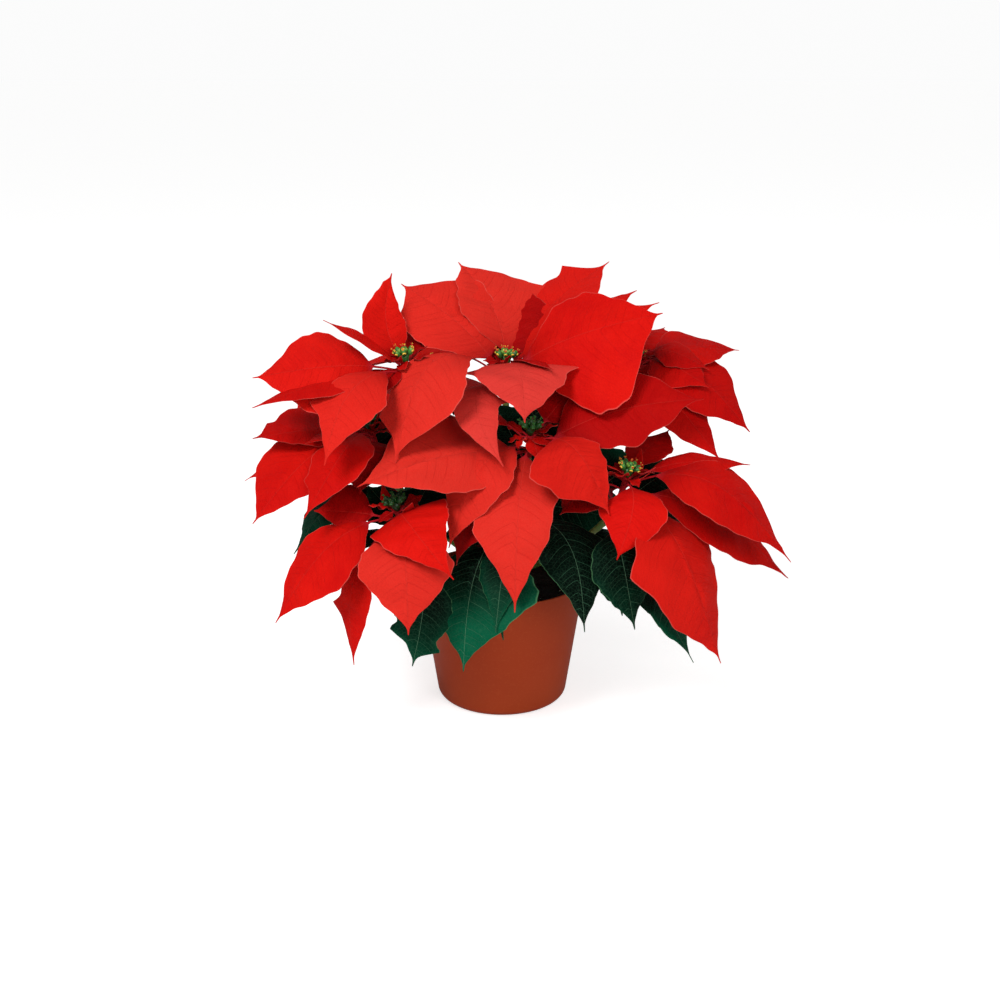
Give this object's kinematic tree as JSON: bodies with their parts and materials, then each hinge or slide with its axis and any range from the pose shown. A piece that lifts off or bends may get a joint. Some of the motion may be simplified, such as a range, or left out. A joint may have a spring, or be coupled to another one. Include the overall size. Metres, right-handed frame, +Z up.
{
  "type": "poinsettia in a pot",
  "caption": "Potted poinsettia: leafy branches from a short trunk, each ending in a whorl of pointed red bracts round small flower cups, in a plain tapered terracotta-coloured pot of soil.",
  "frame": {"origin": "the middle of the pot's flat bottom, on the surface that it stands on", "axes": "+Z up along the pot's axis; the plant's front, as pictured, faces -Y and +X is to its right in the picture"},
  "size_m": [0.5217, 0.4241, 0.4215],
  "materials": {
    "pot": "satin",
    "soil": "matte",
    "bark": "matte",
    "leaf": "satin",
    "bract": "satin",
    "flower": "satin"
  },
  "bodies": {
    "root": {"pot": "pot", "soil": "soil", "trunk": "bark", "stem_left": "leaf", "bracts_left": "bract", "flowers_left": "flower", "stem_middle": "leaf", "bracts_middle": "bract", "flowers_middle": "flower", "stem_front": "leaf", "bracts_front": "bract", "flowers_front": "flower", "stem_right": "leaf", "bracts_right": "bract", "flowers_right": "flower", "stem_lower": "leaf", "bracts_lower": "bract", "flowers_lower": "flower", "stem_back_right": "leaf", "bracts_back_right": "bract", "flowers_back_right": "flower", "stem_far_left": "leaf", "bracts_far_left": "bract", "flowers_far_left": "flower", "stem_back_left": "leaf", "bracts_back_left": "bract", "flowers_back_left": "flower", "stem_back": "leaf", "bracts_back": "bract", "flowers_back": "flower"}
  },
  "joints": []
}
